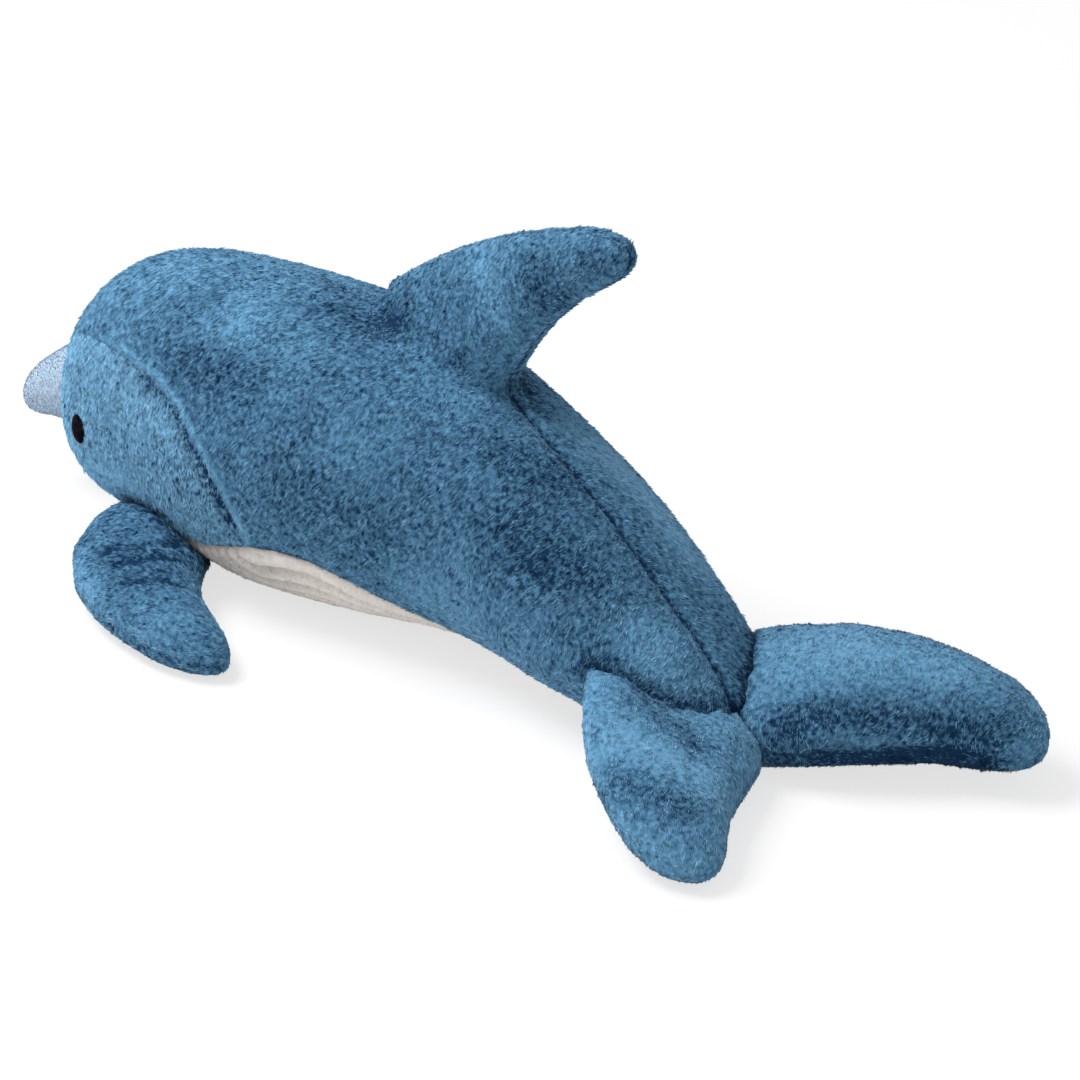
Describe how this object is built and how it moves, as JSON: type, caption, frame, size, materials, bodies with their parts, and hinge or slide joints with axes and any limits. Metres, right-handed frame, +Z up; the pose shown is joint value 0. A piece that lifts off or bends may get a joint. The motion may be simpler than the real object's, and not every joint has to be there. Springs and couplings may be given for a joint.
{
  "type": "plush dolphin",
  "caption": "Stuffed dolphin in blue pile with a cream belly, pale blunt beak, swept dorsal fin, flippers and tail flukes, lying on its belly with head and tail curled to one side.",
  "frame": {"origin": "centre of the bounding box in plan, at the level of the surface the toy lies on", "axes": "+X from beak to tail, +Z up, the animal's left side towards -Y"},
  "size_m": [0.4446, 0.205, 0.1705],
  "materials": {
    "blue_pile": "matte short pile, brushed",
    "light_blue_pile": "matte short pile, brushed",
    "beak_velour": "soft velour",
    "cream_pile": "matte short pile",
    "eye_thread": "satin stitch",
    "filling": "loose wadding"
  },
  "bodies": {
    "root": {"back_left": "blue_pile", "back_right": "blue_pile", "cheek_left": "light_blue_pile", "cheek_right": "light_blue_pile", "belly": "cream_pile", "beak": "beak_velour", "body_filling": "filling", "dorsal_fin_filling": "filling", "flipper_left_top": "blue_pile", "flipper_left_underside": "blue_pile", "flipper_left_filling": "filling", "flipper_right_top": "blue_pile", "flipper_right_underside": "blue_pile", "flipper_right_filling": "filling", "fluke_left_top": "blue_pile", "fluke_left_underside": "blue_pile", "fluke_left_filling": "filling", "fluke_right_top": "blue_pile", "fluke_right_underside": "blue_pile", "fluke_right_filling": "filling", "eye_left": "eye_thread", "eye_right": "eye_thread"}
  },
  "joints": []
}
